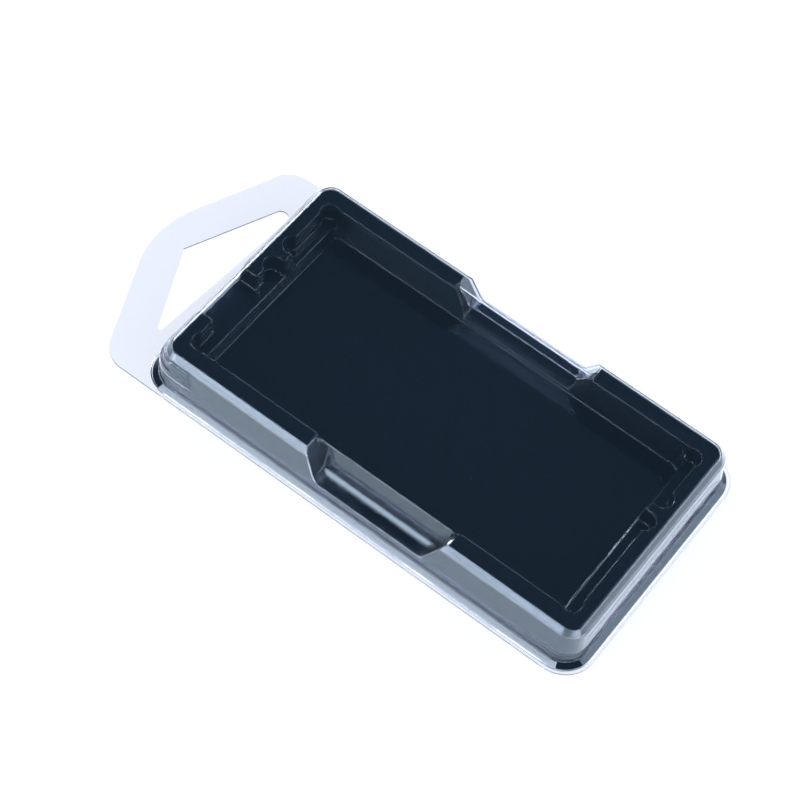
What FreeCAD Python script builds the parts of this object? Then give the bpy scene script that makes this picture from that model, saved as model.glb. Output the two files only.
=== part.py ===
import FreeCAD, Part
import math
import os
import Sketcher

# A slim retail pack: a clear thermoformed cover with a hang tab, closed over a black thermoformed
# tray. The origin is on the table, under the middle of the whole pack with its tab. +X runs from
# the tab along the pack, +Y across it and +Z up. Every length is in millimetres.
#
# Each sheet is an upper form less an under form. Both forms come from the same functions, so the
# under form is the upper one moved in and down by the sheet's thickness.

SIZES = [
    ("top_length", 140.0, "flat top of the cover, along the pack"),
    ("top_width", 75.5, "flat top of the cover, across the pack"),
    ("pack_height", 15.0, "table to the top of the cover"),
    ("top_corner", 4.2, "corner radius of the flat top"),
    ("cover_sheet", 0.45, "thickness of the clear sheet"),
    ("tray_sheet", 0.5, "thickness of the black sheet"),
    ("nest_gap", 0.3, "gap between the cover and the tray in it"),
    ("bevel_out", 1.65, "how far the bevel round the top stands out"),
    ("bevel_drop", 2.3, "how far the bevel comes down"),
    ("wall_out", 1.35, "draft of the wall, from the bevel to the foot"),
    ("foot_height", 1.0, "height of the flared foot at its outer edge"),
    ("foot_rise", 0.7, "rise of the foot from its outer edge to the wall"),
    ("foot_out", 2.25, "width of the flared foot"),
    ("edge_out", 0.15, "draft of the foot's outer edge"),
    ("flange_out", 0.6, "flat flange beyond the foot"),
    ("tab_shoulder", 10.5, "flange to the corners where the tab's sloping edges start"),
    ("tab_point", 28.55, "flange to the point where the tab's sloping edges would meet"),
    ("tab_corner", 9.0, "radius of the tab's two shoulders"),
    ("tab_tip", 31.5, "radius of the tab's rounded tip"),
    ("hole_point", 16.8, "flange to the point of the hang hole"),
    ("hole_point_radius", 0.5, "radius of the hang hole's point"),
    ("hole_near_out", 4.0, "flange to the hole's near corner"),
    ("hole_near_side", 29.3, "middle of the pack to the hole's near corner"),
    ("hole_near_radius", 0.8, "radius of the hole's near corner"),
    ("hole_far_in", 0.8, "how far inside the flange's edge the hole's far sides would meet"),
    ("hole_far_side", 41.0, "middle of the pack to where the hole's far sides would meet"),
    ("hole_far_radius", 2.3, "radius of the hole's far end"),
    ("notch_middle", 3.5, "middle of the top to the middle of the thumb notches"),
    ("notch_top_width", 47.3, "width of a thumb notch at the top"),
    ("notch_floor_width", 36.1, "width of a thumb notch at its floor"),
    ("notch_reach", 4.1, "how far a thumb notch cuts into the flat top"),
    ("near_notch_depth", 10.6, "flat top to the floor of the near thumb notch"),
    ("far_notch_depth", 9.6, "flat top to the floor of the far thumb notch"),
    ("notch_draft", 1.65, "draft of a thumb notch's back wall over its depth"),
    ("notch_bevel_in", 1.2, "width of the bevel round a thumb notch's floor"),
    ("notch_bevel_rise", 1.4, "height of the bevel round a thumb notch's floor"),
    ("notch_corner", 1.8, "radius of a thumb notch's upright corners"),
    ("recess_length", 125.4, "tray recess at the rim, along the pack"),
    ("recess_width", 64.2, "tray recess at the rim, across the pack"),
    ("recess_depth", 11.2, "rim to the recess floor"),
    ("recess_end_draft", 1.8, "draft of the recess's end walls over their depth"),
    ("recess_side_draft", 0.7, "draft of the recess's long walls over their depth"),
    ("recess_corner", 2.4, "corner radius of the recess"),
    ("ledge_depth", 6.5, "rim to the ledges at the two ends"),
    ("ledge_length", 130.9, "outer wall of one ledge to that of the other"),
    ("relief_radius", 3.0, "radius of the round reliefs"),
    ("corner_relief_in", 2.2, "ledge wall to the middle of a corner relief"),
    ("corner_relief_side", 2.6, "recess wall to the middle of a corner relief"),
    ("finger_relief_in", 0.95, "ledge wall to the middle of the reliefs beside the finger"),
    ("near_relief_side", 4.25, "middle of the pack to the relief on the finger's near side"),
    ("far_relief_side", 13.55, "middle of the pack to the relief on the finger's far side"),
    ("finger_near_side", 7.25, "middle of the pack to the finger's near side"),
    ("finger_far_side", 12.85, "middle of the pack to the finger's far side"),
    ("cutaway_near_side", 21.75, "middle of the pack to the near end of the rim's cut-away"),
    ("cutaway_far_side", 2.25, "middle of the pack to the far end of the rim's cut-away"),
    ("snap_height", 4.8, "table to the middle of the snap grooves"),
    ("snap_radius", 0.7, "radius of a snap groove's section"),
    ("snap_bite", 0.22, "depth of a snap groove in the clear sheet"),
    ("snap_run", 9.0, "straight stretch of a snap groove beside its corner"),
    ("overcut", 1.0, "how far a cutting form runs past what it cuts"),
]

# The shares of an inset by which a corner of a profile moves: down first, then inwards. They
# follow from the slopes of the two stretches that meet at the corner.
TOP_SHIFT = (1.0, 0.5)
BEVEL_SHIFT = (0.37, 0.96)
FOOT_SHIFT = (0.76, 0.91)
EDGE_SHIFT = (0.77, 0.9)
BASE_SHIFT = (0.0, 1.0)
NOTCH_BEVEL_SHIFT = (0.36, 1.0)
NOTCH_FLOOR_SHIFT = (1.0, 0.47)
PLAIN_FLOOR_SHIFT = (1.0, 1.0)

# Expressions that several pieces share: the height of the tray's rim, how far the flange stands
# out past the flat top, and how far the hang tab stands out past the flange.
RIM_HEIGHT = "(pack_height - cover_sheet - nest_gap)"
FLANGE_PAST = "(bevel_out + wall_out + foot_out + edge_out + flange_out)"
TAB_SLOPE = f"atan((tab_point - tab_shoulder) / (top_width / 2 + {FLANGE_PAST}))"
TAB_REACH = f"(tab_point - tab_tip * (1 / cos({TAB_SLOPE}) - 1))"


def sheet_of_sizes(doc):
    """The spreadsheet that holds every driving size under its own name."""
    sheet = doc.addObject("Spreadsheet::Sheet", "sizes")
    for row, (alias, value, note) in enumerate(SIZES, start=1):
        sheet.set(f"A{row}", alias)
        sheet.set(f"B{row}", str(value))
        sheet.set(f"C{row}", note)
        sheet.setAlias(f"B{row}", alias)
    doc.recompute()
    return sheet


def sized(expression):
    """The expression with each size's name written as a cell of the sheet."""
    words = {alias for alias, _, _ in SIZES}
    out, word = [], ""
    for letter in expression + " ":
        if letter.isalnum() or letter == "_":
            word += letter
            continue
        out.append(f"<<sizes>>.{word}" if word in words else word)
        out.append(letter)
        word = ""
    return "".join(out).strip()


def value_of(obj, expression):
    """The number that an expression of sizes comes to."""
    return float(obj.evalExpression(sized(expression)))


def new_body(doc, name):
    return doc.addObject("PartDesign::Body", name)


def plane_of(body, role):
    """One of a body's own origin planes, by its role."""
    return next(item for item in body.Origin.OriginFeatures if item.Role == role)


def corner_points(before, at, after, radius):
    """Where a corner's arc leaves its two sides, its middle, and whether it turns left."""
    to_before = (before - at).normalize()
    to_after = (after - at).normalize()
    half = to_before.getAngle(to_after) / 2
    reach = radius / math.tan(half)
    middle = at + (to_before + to_after).normalize() * (radius / math.sin(half))
    turns_left = (at - before).cross(after - at).z > 0
    return at + to_before * reach, at + to_after * reach, middle, turns_left


def add_side(sketch, start, end):
    return sketch.addGeometry(Part.LineSegment(start, end), False)


def add_arc(sketch, first, last, middle, radius, turns_left):
    """The arc of a corner, and the numbers of its ends on the side before and after it."""
    circle = Part.Circle(middle, FreeCAD.Vector(0, 0, 1), radius)
    if not turns_left:
        first, last = last, first
    arc = Part.ArcOfCircle(circle, circle.parameter(first), circle.parameter(last))
    ends = (1, 2) if turns_left else (2, 1)
    return sketch.addGeometry(arc, False), ends


def bind(sketch, constraint, expression):
    """Adds a dimension to a sketch and ties it to an expression of sizes."""
    index = sketch.addConstraint(constraint)
    sketch.setExpression(f"Constraints[{index}]", sized(expression))


def outline(body, name, height, corners):
    """A closed sketch at a height, with a rounded corner at each (x, y, radius) of the list.

    The corners run anticlockwise. Each is a point held by its two sides, and its arc is tangent
    to both."""
    sketch = body.newObject("Sketcher::SketchObject", name)
    sketch.AttachmentSupport = [(plane_of(body, "XY_Plane"), "")]
    sketch.MapMode = "FlatFace"
    sketch.setExpression("AttachmentOffset.Base.z", sized(height))
    points = [FreeCAD.Vector(value_of(sketch, x), value_of(sketch, y), 0) for x, y, _ in corners]
    radii = [value_of(sketch, radius) for _, _, radius in corners]
    count = len(corners)
    bends = [
        corner_points(points[i - 1], points[i], points[(i + 1) % count], radii[i])
        for i in range(count)
    ]
    sides = [add_side(sketch, bends[i][1], bends[(i + 1) % count][0]) for i in range(count)]
    for i, (x, y, radius) in enumerate(corners):
        before, after = sides[i - 1], sides[i]
        arc, ends = add_arc(sketch, *bends[i][:3], radii[i], bends[i][3])
        sketch.addConstraint(Sketcher.Constraint("Tangent", before, 2, arc, ends[0]))
        sketch.addConstraint(Sketcher.Constraint("Tangent", arc, ends[1], after, 1))
        mark = sketch.addGeometry(Part.Point(points[i]), True)
        sketch.addConstraint(Sketcher.Constraint("PointOnObject", mark, 1, before))
        sketch.addConstraint(Sketcher.Constraint("PointOnObject", mark, 1, after))
        bind(sketch, Sketcher.Constraint("DistanceX", -1, 1, mark, 1, points[i].x), x)
        bind(sketch, Sketcher.Constraint("DistanceY", -1, 1, mark, 1, points[i].y), y)
        bind(sketch, Sketcher.Constraint("Radius", arc, radii[i]), radius)
    sketch.Visibility = False
    return sketch


def rounded_rectangle(body, name, height, low, high, radius):
    """An outline with square sides, from the low corner to the high one."""
    corners = [
        (low[0], low[1], radius),
        (high[0], low[1], radius),
        (high[0], high[1], radius),
        (low[0], high[1], radius),
    ]
    return outline(body, name, height, corners)


def loft(body, kind, name, sections):
    """A straight-sided loft through sections, from the lowest up."""
    feature = body.newObject(f"PartDesign::{kind}Loft", name)
    feature.Profile = sections[0]
    feature.Sections = sections[1:]
    feature.Ruled = True
    return feature


def hat_section(body, name, height, out, inset, shift):
    """One level of the pack's outer form: its height, how far it stands out past the flat top,
    and both of them moved in by the inset."""
    down, inwards = shift
    past = f"({out} - {inwards} * ({inset}))"
    half_length = f"(top_length / 2 + {past})"
    half_width = f"(top_width / 2 + {past})"
    low = (f"-{half_length}", f"-{half_width}")
    high = (half_length, half_width)
    return rounded_rectangle(
        body, name, f"{height} - {down} * ({inset})", low, high, f"top_corner + {past}"
    )


def hat(body, inset, base_height):
    """The bevelled, drafted and flared form that the whole pack has, moved in by the inset."""
    wall = "bevel_out + wall_out"
    edge = f"{wall} + foot_out"
    bevel_foot = "pack_height - bevel_drop"
    sections = [
        hat_section(body, "base_section", base_height, f"{edge} + edge_out", inset, BASE_SHIFT),
        hat_section(body, "edge_section", "foot_height", edge, inset, EDGE_SHIFT),
        hat_section(body, "foot_section", "foot_height + foot_rise", wall, inset, FOOT_SHIFT),
        hat_section(body, "bevel_section", bevel_foot, "bevel_out", inset, BEVEL_SHIFT),
        hat_section(body, "top_section", "pack_height", "0", inset, TOP_SHIFT),
    ]
    return loft(body, "Additive", "hat", sections)


def notch_levels(depth, inset, reach, bevelled):
    """Name, height, half length and back wall of each level of a thumb notch, from its floor up.
    The reach is how far the notch comes in from the flat top's long edge."""
    slope = f"(notch_top_width - notch_floor_width) / 2 / {depth}"
    top = (
        "top",
        "pack_height + overcut",
        f"(notch_top_width / 2 + {slope} * overcut + {inset})",
        f"({reach} + notch_draft * overcut / {depth} + {inset})",
    )
    if not bevelled:
        down, inwards = PLAIN_FLOOR_SHIFT
        floor = f"pack_height - {depth} - {down} * ({inset})"
        half = f"(notch_floor_width / 2 + {inwards} * ({inset}))"
        return [("floor", floor, half, top[3]), top]
    down, inwards = NOTCH_BEVEL_SHIFT
    bevel_top = f"pack_height - {depth} + notch_bevel_rise"
    half = f"notch_floor_width / 2 + {slope} * notch_bevel_rise"
    back = f"{reach} - notch_draft * (1 - notch_bevel_rise / {depth})"
    floor_down, floor_inwards = NOTCH_FLOOR_SHIFT
    return [
        (
            "floor",
            f"pack_height - {depth} - {floor_down} * ({inset})",
            f"({half} - notch_bevel_in + {floor_inwards} * ({inset}))",
            f"({back} - notch_bevel_in + {floor_inwards} * ({inset}))",
        ),
        (
            "bevel",
            f"{bevel_top} - {down} * ({inset})",
            f"({half} + {inwards} * ({inset}))",
            f"({back} + {inwards} * ({inset}))",
        ),
        top,
    ]


def notches(body, inset, reach, bevelled):
    """The two thumb notches, each with sloping ends and a flat floor, open towards its side."""
    outer = "(top_width / 2 + bevel_out + wall_out + foot_out + overcut)"
    for side, sign in (("near", "-"), ("far", "")):
        depth = f"{side}_notch_depth"
        sections = []
        for level, height, half, back in notch_levels(depth, inset, reach, bevelled):
            inner = f"(top_width / 2 - {back})"
            across = (f"-{outer}", f"-{inner}") if sign else (inner, outer)
            low = (f"notch_middle - {half}", across[0])
            high = (f"notch_middle + {half}", across[1])
            radius = f"notch_corner + {inset}"
            sections.append(
                rounded_rectangle(body, f"{side}_notch_{level}", height, low, high, radius)
            )
        loft(body, "Subtractive", f"{side}_notch", sections)


def recess(body, grow):
    """The tray's deep recess with its drafted walls, grown all round by a thickness."""
    taller = f"(recess_depth + pack_height + overcut - {RIM_HEIGHT}) / recess_depth"
    levels = [
        ("floor", f"{RIM_HEIGHT} - recess_depth - ({grow})", "1"),
        ("top", "pack_height + overcut", f"(1 - {taller})"),
    ]
    sections = []
    for level, height, share in levels:
        half_length = f"(recess_length / 2 - recess_end_draft * {share} + {grow})"
        half_width = f"(recess_width / 2 - recess_side_draft * {share} + {grow})"
        low = (f"-{half_length}", f"-{half_width}")
        high = (half_length, half_width)
        sections.append(
            rounded_rectangle(body, f"recess_{level}", height, low, high, f"recess_corner + {grow}")
        )
    loft(body, "Subtractive", "recess", sections)


def place(item, point):
    """Ties an object's place to three expressions of sizes."""
    for axis, expression in zip("xyz", point):
        item.setExpression(f"Placement.Base.{axis}", sized(expression))


def cut_box(body, name, low, high):
    """Cuts a box that runs from the low corner to the high one."""
    box = body.newObject("PartDesign::SubtractiveBox", name)
    place(box, low)
    for size, start, end in zip(("Length", "Width", "Height"), low, high):
        box.setExpression(size, sized(f"({end}) - ({start})"))


def cut_cylinder(body, name, radius, foot, height):
    """Cuts an upright cylinder that stands on its foot point."""
    cylinder = body.newObject("PartDesign::SubtractiveCylinder", name)
    cylinder.setExpression("Radius", sized(radius))
    cylinder.setExpression("Height", sized(height))
    place(cylinder, foot)
    return cylinder


def ledges(body, grow):
    """The mid-height ledges at the two ends: pockets beside a finger that stands between two
    round reliefs, a relief in each corner, and the cut-away in the rim beside the tab."""
    floor = f"({RIM_HEIGHT} - ledge_depth - ({grow}))"
    top = "(pack_height + overcut)"
    side = f"(recess_width / 2 + {grow})"
    wall = f"(ledge_length / 2 + {grow})"
    inner = "(recess_length / 2 - recess_end_draft)"
    relief_x = "(ledge_length / 2 - finger_relief_in)"
    pockets = [
        ("near_ledge", wall, f"-{side}", f"near_relief_side + {grow}"),
        ("finger_side", relief_x, "near_relief_side", f"finger_near_side + {grow}"),
        ("far_ledge", wall, f"finger_far_side - ({grow})", side),
    ]
    corner_x = "(ledge_length / 2 - corner_relief_in)"
    corner_y = "(recess_width / 2 - corner_relief_side)"
    reliefs = [
        ("near_corner", corner_x, f"-{corner_y}"),
        ("near_relief", relief_x, "near_relief_side"),
        ("far_relief", relief_x, "far_relief_side"),
        ("far_corner", corner_x, corner_y),
    ]
    for end, sign in (("left", "-"), ("right", "")):
        for name, reach, low_y, high_y in pockets:
            span = (f"-({reach})", f"-({inner})") if sign else (inner, reach)
            cut_box(body, f"{end}_{name}", (span[0], low_y, floor), (span[1], high_y, top))
        for name, x, y in reliefs:
            foot = (f"{sign}{x}", y, floor)
            cut_cylinder(body, f"{end}_{name}", f"relief_radius + {grow}", foot, f"{top} - {floor}")
    outside = "-(top_length / 2 + bevel_out + wall_out + overcut)"
    cut_box(
        body,
        "rim_cutaway",
        (outside, f"-(cutaway_near_side + {grow})", floor),
        (f"-({inner})", f"-(cutaway_far_side - ({grow}))", top),
    )


def flange(body):
    """The flat flange round the foot, and the hang tab that it runs out into, with its hole."""
    half_length = f"(top_length / 2 + {FLANGE_PAST})"
    half_width = f"(top_width / 2 + {FLANGE_PAST})"
    radius = f"top_corner + {FLANGE_PAST}"
    shoulder = f"-({half_length} + tab_shoulder)"
    tab = outline(body, "flange_outline", "0", [
        (half_length, f"-{half_width}", radius),
        (half_length, half_width, radius),
        (shoulder, half_width, "tab_corner"),
        (f"-({half_length} + tab_point)", "0", "tab_tip"),
        (shoulder, f"-{half_width}", "tab_corner"),
    ])
    pad = body.newObject("PartDesign::Pad", "flange")
    pad.Profile = tab
    pad.setExpression("Length", sized("cover_sheet"))
    hole = outline(body, "hole_outline", "cover_sheet", [
        (f"-({half_length} + hole_near_out)", "-hole_near_side", "hole_near_radius"),
        (f"-({half_length} - hole_far_in)", "hole_far_side", "hole_far_radius"),
        (f"-({half_length} + hole_point)", "0", "hole_point_radius"),
    ])
    pocket = body.newObject("PartDesign::Pocket", "hang_hole")
    pocket.Profile = hole
    pocket.setExpression("Length", sized("cover_sheet"))


def snap_grooves(body):
    """A shallow groove round each corner of the wall, where the cover grips the tray: a quarter
    ring at the corner and a straight bar on either side."""
    wall_height = "(pack_height - bevel_drop - foot_height - foot_rise)"
    drop = "(pack_height - bevel_drop - snap_height)"
    out = f"(bevel_out + wall_out * {drop} / {wall_height})"
    centre_x = "(top_length / 2 - top_corner)"
    centre_y = "(top_width / 2 - top_corner)"
    ring = f"(top_corner + {out} + snap_radius - snap_bite)"
    quarter = 90.0
    corners = [("near_right", "", "-", 3), ("far_right", "", "", 0), ("far_left", "-", "", 1),
               ("near_left", "-", "-", 2)]
    along = FreeCAD.Rotation(FreeCAD.Vector(0, 1, 0), quarter)
    across = FreeCAD.Rotation(FreeCAD.Vector(1, 0, 0), -quarter)
    for name, sign_x, sign_y, turns in corners:
        torus = body.newObject("PartDesign::SubtractiveTorus", f"{name}_snap_ring")
        torus.setExpression("Radius1", sized(ring))
        torus.setExpression("Radius2", sized("snap_radius"))
        torus.Angle3 = quarter
        torus.Placement.Rotation = FreeCAD.Rotation(FreeCAD.Vector(0, 0, 1), turns * quarter)
        place(torus, (f"{sign_x}{centre_x}", f"{sign_y}{centre_y}", "snap_height"))
        start_x = f"-{centre_x}" if sign_x else f"{centre_x} - snap_run"
        start_y = f"-{centre_y}" if sign_y else f"{centre_y} - snap_run"
        bars = [
            ("bar_along", along, (start_x, f"{sign_y}({centre_y} + {ring})", "snap_height")),
            ("bar_across", across, (f"{sign_x}({centre_x} + {ring})", start_y, "snap_height")),
        ]
        for bar_name, turn, foot in bars:
            bar = cut_cylinder(body, f"{name}_{bar_name}", "snap_radius", foot, "snap_run")
            bar.Placement.Rotation = turn


def clear_cover(doc):
    """The clear cover: its outer form with flange, tab and snap grooves, less its inner form."""
    outer = new_body(doc, "cover_outer")
    hat(outer, "0", "0")
    notches(outer, "0", "notch_reach", True)
    snap_grooves(outer)
    flange(outer)
    inner = new_body(doc, "cover_inner")
    hat(inner, "cover_sheet", "-overcut")
    notches(inner, "cover_sheet", "notch_reach", True)
    return sheet_part(doc, "clear_cover", outer, inner)


def inner_tray(doc):
    """The black tray: its upper form with recess, ledges and channels, less its under form."""
    upper_inset = "(cover_sheet + nest_gap)"
    under_inset = "(cover_sheet + nest_gap + tray_sheet)"
    channel = "(top_width - recess_width) / 2 + recess_side_draft + overcut"
    upper = new_body(doc, "tray_upper")
    under = new_body(doc, "tray_under")
    for body, inset, grow, base in (
        (upper, upper_inset, "0", "0"),
        (under, under_inset, "tray_sheet", "-overcut"),
    ):
        hat(body, inset, base)
        notches(body, inset, channel, False)
        recess(body, grow)
        ledges(body, grow)
    return sheet_part(doc, "inner_tray", upper, under)


def sheet_part(doc, name, upper, under):
    """One formed sheet: what is left of an upper form when its under form is taken away."""
    sheet = doc.addObject("Part::Cut", name)
    sheet.Label = name
    sheet.Base = upper
    sheet.Tool = under
    sheet.setExpression("Placement.Base.x", sized(f"{TAB_REACH} / 2"))
    return sheet


def check(doc, parts):
    """Stops the script if an object has failed, or a part's shape is empty or not valid."""
    for item in doc.Objects:
        if "Invalid" in item.State or "Error" in item.State:
            raise RuntimeError(f"{item.Name} did not build: {item.State}")
    for part in parts:
        if part.Shape.isNull() or not part.Shape.isValid():
            raise RuntimeError(f"{part.Label} has no valid shape")


def main():
    doc = FreeCAD.newDocument("clamshell_pack")
    sheet_of_sizes(doc)
    parts = [clear_cover(doc), inner_tray(doc)]
    doc.recompute()
    check(doc, parts)
    os.makedirs("parts", exist_ok=True)
    for part in parts:
        part.Shape.exportStep(f"parts/{part.Label}.step")
        solids = len(part.Shape.Solids)
        print(f"{part.Label}: {solids} solid, {part.Shape.Volume:.1f} mm3, {part.Shape.BoundBox}")


main()
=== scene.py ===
import math
import bmesh
import bpy
import numpy as np
from bpy.props import FloatProperty, FloatVectorProperty, PointerProperty
from mathutils import Matrix, Vector


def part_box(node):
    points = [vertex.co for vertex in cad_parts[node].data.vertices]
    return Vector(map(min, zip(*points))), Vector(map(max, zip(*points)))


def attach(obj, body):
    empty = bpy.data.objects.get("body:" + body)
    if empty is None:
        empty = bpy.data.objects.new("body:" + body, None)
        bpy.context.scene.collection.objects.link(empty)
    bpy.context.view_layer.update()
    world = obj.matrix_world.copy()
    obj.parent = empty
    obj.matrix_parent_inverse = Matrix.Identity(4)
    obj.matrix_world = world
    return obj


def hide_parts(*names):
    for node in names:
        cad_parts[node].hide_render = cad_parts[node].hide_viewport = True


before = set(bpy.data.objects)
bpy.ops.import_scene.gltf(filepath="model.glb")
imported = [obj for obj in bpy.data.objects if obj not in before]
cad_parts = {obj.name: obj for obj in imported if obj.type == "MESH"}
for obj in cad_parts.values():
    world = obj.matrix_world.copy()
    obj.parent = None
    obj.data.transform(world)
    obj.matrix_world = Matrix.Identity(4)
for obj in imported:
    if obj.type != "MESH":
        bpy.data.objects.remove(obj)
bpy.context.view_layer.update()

bl_info = {
    "name": "Clear retail pack",
    "version": (1, 0, 0),
    "blender": (4, 5, 0),
    "location": "View3D > Sidebar > Pack",
    "description": "A clear formed cover with a hang tab over a glossy black formed tray",
    "category": "Add Mesh",
}

MM = 0.001
# Points closer than this are one point.
WELD = 0.001 * MM
# Rows of the cover's section: at a rounded corner, down the wall, and at a step or a groove in it.
BEND_ROWS = 6
WALL_ROWS = 16
LEDGE_ROWS = 9
# Columns round the cover: at a corner, at a notch's floor, at each end of a long side, along each
# plain stretch between a notch and that end, and along a short side.
CORNER_COLUMNS = 14
FLOOR_COLUMNS = 9
END_COLUMNS = 38
PLAIN_COLUMNS = 4
SHORT_COLUMNS = 40
COLUMN_GAP = 0.3 * MM
# Where those columns stand. At a notch's ends, a gap apart, they run from inside its floor to
# outside its top, and the floor's own columns keep a margin. Each end of a long side has a run.
INSIDE_FLOOR = 2.4 * MM
OUTSIDE_TOP = 1.2 * MM
FLOOR_MARGIN = 3 * MM
END_RUN = 16 * MM
PLAIN_STRETCHES = ((-45 * MM, -25 * MM), (32 * MM, 48 * MM))
# Steps round each rounded edge of the tray, and round each corner of the tab and its hole.
TRAY_BEND_STEPS = 4
ARC_STEPS = 12
# A place along the pack that is clear of both notches.
FAR = 1.0
# The largest share of a side that one rounded corner takes.
LARGEST_REACH = 0.48
# Where the rows at a step stand, in heights of the step, and those at a groove, in its radius.
STEP_SPREAD = (-1.3, 0.3)
GROOVE_SPREAD = (-1.1, 1.1)
# The share of the wall's height at each end that gets no row of its own.
WALL_MARGIN = 0.01
# The flat strip round the top, inside its edge, and how far the wall runs on below a notch's floor.
TOP_STRIP = 1.6 * MM
LEAST_BELOW = 0.05 * MM
MOST_BELOW = 1.5 * MM
# How much of its run a rounded ramp gives to each end: the slopes at a notch's ends, the bevel
# round its floor, the ends of the grooves and patches, and the steps of the patches.
SLOPE_EASE = 0.06
BEVEL_EASE = 0.2
END_EASE = 0.4
STEP_EASE = 0.12
# Turns in degrees: above the first an edge is shaded sharp, above the second the tray's edges are
# rounded, and below the third two of the tray's faces are one.
SHARP_TURN = 40.0
ROUNDED_TURN = 30.0
FLAT_TURN = 1.0
# How far a large face's direction outweighs a small one's: not at all at 50, and most at 100.
FACE_WEIGHT = 100
COVER_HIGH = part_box("clear_cover")[1]


def length(default, name, description):
    """A length property that is given in millimetres and kept in metres."""
    return FloatProperty(name=name, description=description, default=default * MM,
                         unit="LENGTH", precision=5)


def colour(default, name, description):
    """A colour property."""
    return FloatVectorProperty(name=name, description=description, default=default,
                               size=3, min=0.0, max=1.0, subtype="COLOR")


class PackProfile(bpy.types.PropertyGroup):
    """The section that the pack has all round: its bevel, its drafted wall and its flared foot."""
    top_length: length(140.0, "Top length", "Flat top of the cover, along the pack")
    top_width: length(75.5, "Top width", "Flat top of the cover, across the pack")
    top_corner: length(4.2, "Top corner", "Corner radius of the flat top")
    bevel_out: length(1.65, "Bevel out", "How far the bevel stands out past the flat top")
    bevel_drop: length(2.3, "Bevel drop", "How far the bevel comes down")
    wall_out: length(1.35, "Wall draft", "How far the wall leans out, down to the foot")
    foot_out: length(2.25, "Foot width", "Width of the flared foot")
    foot_rise: length(0.7, "Foot rise", "Rise of the foot from its edge to the wall")
    foot_height: length(1.0, "Foot height", "Height of the foot at its outer edge")
    edge_out: length(0.15, "Edge draft", "How far the foot's edge leans out, down to the table")
    flange_out: length(0.6, "Flange", "Flat flange beyond the foot")
    film: length(0.45, "Film", "Thickness of the clear film")
    edge_round: length(0.75, "Edge rounding", "How far a rounded edge reaches along its faces")


class NotchSizes(bpy.types.PropertyGroup):
    """The two thumb notches in the long sides."""
    middle: length(3.5, "Middle", "Middle of the top to the middle of the notches")
    top_width: length(47.3, "Top width", "Width of a notch at the top")
    floor_width: length(36.1, "Floor width", "Width of a notch at its floor")
    reach: length(4.1, "Reach", "How far a notch cuts into the flat top")
    near_depth: length(10.6, "Near depth", "Flat top to the floor of the near notch")
    far_depth: length(9.6, "Far depth", "Flat top to the floor of the far notch")
    draft: length(1.65, "Draft", "Draft of a notch's back wall over its depth")
    bevel_in: length(1.2, "Bevel in", "Width of the bevel round a notch's floor")
    bevel_rise: length(1.4, "Bevel rise", "Height of the bevel round a notch's floor")
    corner: length(1.8, "Corner", "Radius of a notch's upright corners")


class GripSizes(bpy.types.PropertyGroup):
    """The grooves in the wall round its right corners, and the patches that stand out round its
    left ones."""
    snap_height: length(4.8, "Snap height", "Table to the middle of the grooves at the right end")
    snap_radius: length(0.7, "Snap radius", "Radius of a groove's section")
    snap_bite: length(0.3, "Snap bite", "Depth of a groove")
    snap_run: length(9.0, "Snap run", "Straight stretch of a groove beside its corner")
    patch_rise: length(0.38, "Patch rise", "How far each step of the left end's patches stands out")
    patch_step: length(0.12, "Patch step", "Height over which a patch steps out")
    patch_low: length(5.9, "Patch foot", "Table to the foot of a patch")
    patch_high: length(11.9, "Patch top", "Table to the top of a patch")
    patch_run: length(5.4, "Patch run", "Straight stretch of a patch beside its corner")
    rib_height: length(9.4, "Rib height", "Table to the step that crosses a patch")
    rib_run: length(3.9, "Rib run", "Straight stretch of that step beside its corner")
    end_run: length(0.35, "End run", "Run over which a patch ends, and half a groove's")
    slant: FloatProperty(name="Slant", description="Lean of a patch's end, as run for each height",
                         default=0.3, min=0.0)


class TabSizes(bpy.types.PropertyGroup):
    """The hang tab and its hole."""
    shoulder: length(10.5, "Shoulder", "Flange to where the tab's sloping edges start")
    point: length(28.55, "Point", "Flange to where the tab's sloping edges would meet")
    corner: length(9.0, "Shoulder radius", "Radius of the tab's shoulders")
    tip: length(31.5, "Tip radius", "Radius of the tab's rounded tip")
    hole_point: length(16.8, "Hole point", "Flange to the point of the hang hole")
    hole_point_radius: length(0.5, "Point radius", "Radius of the hole's point")
    hole_near_out: length(4.0, "Near corner out", "Flange to the hole's near corner")
    hole_near_side: length(29.3, "Near corner", "Middle of the pack to the hole's near corner")
    hole_near_radius: length(0.8, "Near radius", "Radius of the hole's near corner")
    hole_far_in: length(0.8, "Far corner in", "How far inside the flange the hole's far sides meet")
    hole_far_side: length(41.0, "Far corner", "Middle of the pack to where the far sides meet")
    hole_far_radius: length(2.3, "Far radius", "Radius of the hole's far end")


class Finish(bpy.types.PropertyGroup):
    """Colours and gloss of the two sheets, and the tray's edges."""
    film_tint: colour((0.885, 0.905, 1.0), "Film tint", "Colour of light through the film")
    film_shadow: colour((0.93, 0.94, 0.96), "Film shadow", "Colour of the film's shadow")
    film_gloss: FloatProperty(name="Film roughness", description="Roughness of the clear film",
                              default=0.02, min=0.0, max=1.0, subtype="FACTOR")
    film_ior: FloatProperty(name="Film index", description="Refractive index of the clear film",
                            default=1.54, min=1.0)
    gloss_tint: colour((0.76, 0.89, 1.0), "Gloss tint", "Tint of what both sheets mirror")
    tray_black: colour((0.006, 0.009, 0.014), "Tray black", "Colour of the black sheet")
    tray_gloss: FloatProperty(name="Tray roughness", description="Roughness of the black sheet",
                              default=0.06, min=0.0, max=1.0, subtype="FACTOR")
    tray_ior: FloatProperty(name="Tray index", description="Refractive index of the black sheet",
                            default=1.55, min=1.0)
    tray_round: length(0.5, "Tray rounding", "How far the tray's rounded edges reach")
    tray_cut: length(0.6, "Tray cut edge", "Height up to which the tray's cut edge stays sharp")


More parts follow.
